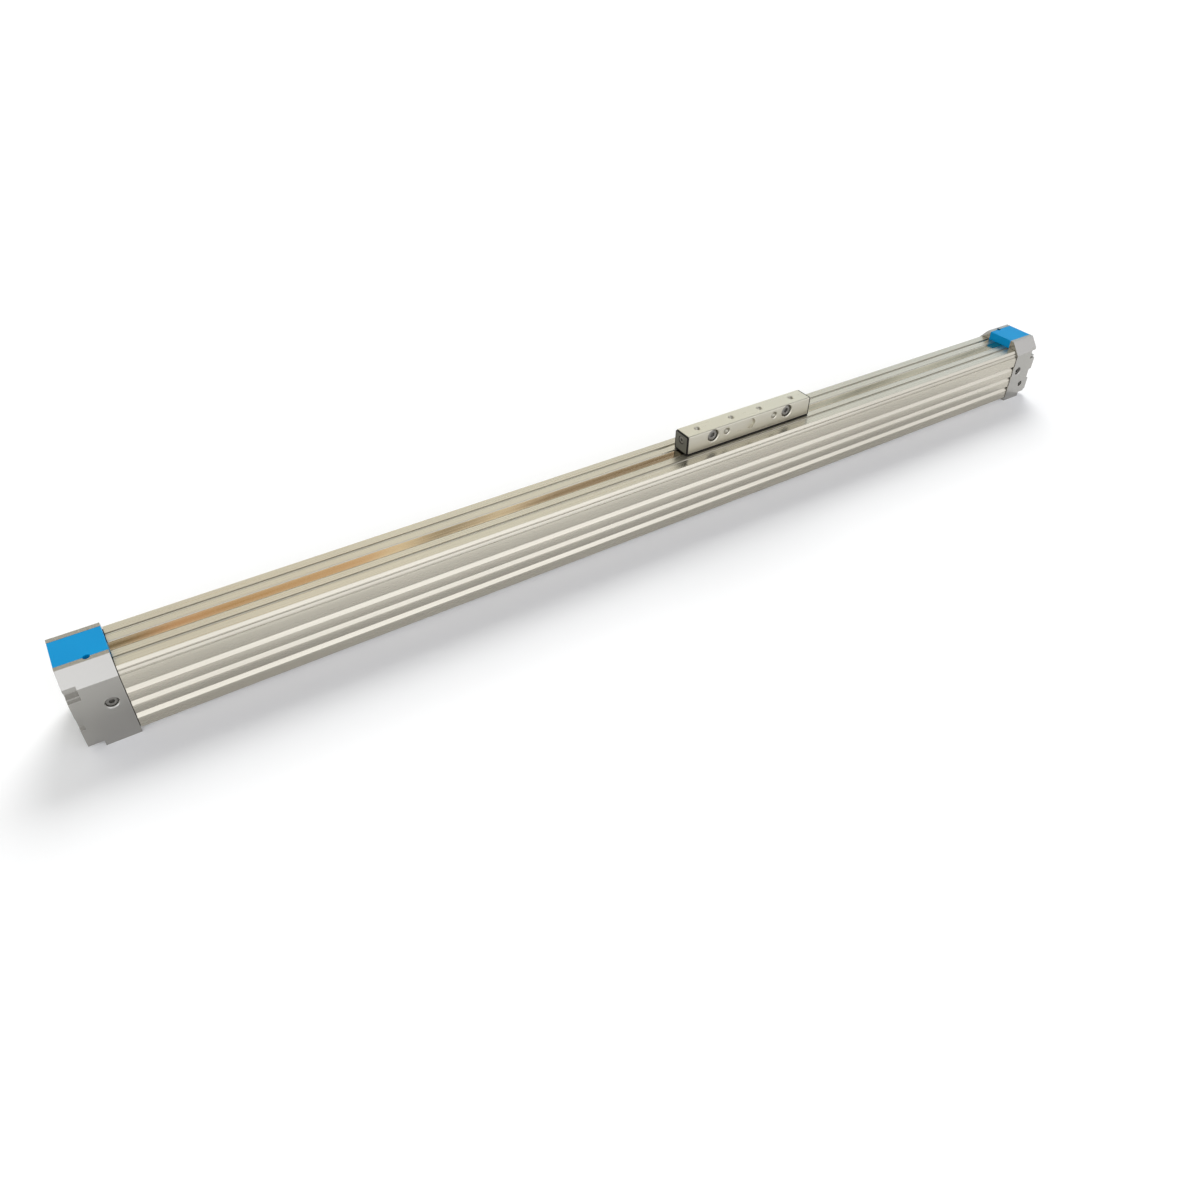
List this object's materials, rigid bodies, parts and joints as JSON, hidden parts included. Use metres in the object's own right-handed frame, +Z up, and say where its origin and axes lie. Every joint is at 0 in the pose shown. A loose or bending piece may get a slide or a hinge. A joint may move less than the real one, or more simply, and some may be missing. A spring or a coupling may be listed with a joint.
{
  "type": "rodless pneumatic cylinder",
  "caption": "Straight rodless air cylinder: a slotted barrel with flutes, sealed by steel bands, between two end caps, with a narrow slide on top driven by pistons inside.",
  "frame": {"origin": "mid-length of the barrel on the plane that the end caps stand on, midway across", "axes": "+X along the barrel towards the right end cap, +Y across it away from the adjusters, +Z up towards the slide"},
  "size_m": [0.7, 0.0386, 0.055],
  "materials": {
    "anodised_aluminium": "satin anodised",
    "cap_aluminium": "satin anodised",
    "slide_aluminium": "satin anodised",
    "plain_aluminium": "turned",
    "blue_plastic": "moulded",
    "dark_plastic": "moulded",
    "bearing_plastic": "moulded",
    "black_rubber": "matt",
    "band_steel": "mirror polished",
    "screw_steel": "zinc plated",
    "yoke_steel": "machined",
    "magnet": "bonded magnet"
  },
  "bodies": {
    "barrel": {"barrel_profile": "anodised_aluminium", "left_end_cap": "cap_aluminium", "right_end_cap": "cap_aluminium", "left_cap_cover": "blue_plastic", "right_cap_cover": "blue_plastic", "left_cap_gasket": "black_rubber", "right_cap_gasket": "black_rubber", "left_cap_screw_1": "screw_steel", "left_cap_screw_2": "screw_steel", "left_cap_screw_3": "screw_steel", "left_cap_screw_4": "screw_steel", "right_cap_screw_1": "screw_steel", "right_cap_screw_2": "screw_steel", "right_cap_screw_3": "screw_steel", "right_cap_screw_4": "screw_steel", "left_cushion_tube": "plain_aluminium", "right_cushion_tube": "plain_aluminium", "left_bore_seal": "black_rubber", "right_bore_seal": "black_rubber", "cover_band": "band_steel", "seal_band": "band_steel", "left_band_clamp": "plain_aluminium", "right_band_clamp": "plain_aluminium", "left_clamp_screw_1": "screw_steel", "left_clamp_screw_2": "screw_steel", "right_clamp_screw_1": "screw_steel", "right_clamp_screw_2": "screw_steel", "left_side_plug": "screw_steel", "right_side_plug": "screw_steel"},
    "slide": {"slide_block": "slide_aluminium", "left_slide_cover": "dark_plastic", "right_slide_cover": "dark_plastic", "left_slide_cover_screw": "screw_steel", "right_slide_cover_screw": "screw_steel", "slide_wiper": "black_rubber", "left_band_shoe": "bearing_plastic", "right_band_shoe": "bearing_plastic", "drive_yoke": "yoke_steel", "left_yoke_screw": "screw_steel", "right_yoke_screw": "screw_steel", "left_piston": "plain_aluminium", "right_piston": "plain_aluminium", "left_piston_seal": "black_rubber", "right_piston_seal": "black_rubber", "left_wear_ring": "bearing_plastic", "right_wear_ring": "bearing_plastic", "left_magnet": "magnet", "right_magnet": "magnet", "left_cushion_seal": "black_rubber", "right_cushion_seal": "black_rubber"},
    "left_adjuster_ring": {"left_needle_ring": "black_rubber"},
    "left_adjuster": {"left_needle": "screw_steel"},
    "right_adjuster_ring": {"right_needle_ring": "black_rubber"},
    "right_adjuster": {"right_needle": "screw_steel"}
  },
  "joints": [
    {"name": "slide_travel", "type": "slide", "parent": "barrel", "child": "slide", "axis": [1, 0, 0], "range_m": [-0.3145, 0.1855], "deforming": ["cover_band", "seal_band"]},
    {"name": "left_adjuster_feed", "type": "slide", "parent": "barrel", "child": "left_adjuster_ring", "axis": [0, -1, 0], "range_m": [-0.0005, 0.001]},
    {"name": "left_adjuster_turn", "type": "hinge", "parent": "left_adjuster_ring", "child": "left_adjuster", "pos_m": [-0.3333, -0.012, 0.0242], "axis": [0, -1, 0], "range_deg": [-360, 720]},
    {"name": "right_adjuster_feed", "type": "slide", "parent": "barrel", "child": "right_adjuster_ring", "axis": [0, -1, 0], "range_m": [-0.0005, 0.001]},
    {"name": "right_adjuster_turn", "type": "hinge", "parent": "right_adjuster_ring", "child": "right_adjuster", "pos_m": [0.3333, -0.012, 0.0242], "axis": [0, -1, 0], "range_deg": [-360, 720]}
  ],
  "couplings": [
    {"joint": "left_adjuster_turn", "follows": "left_adjuster_feed", "rad_per_m": 12566},
    {"joint": "right_adjuster_turn", "follows": "right_adjuster_feed", "rad_per_m": 12566}
  ]
}
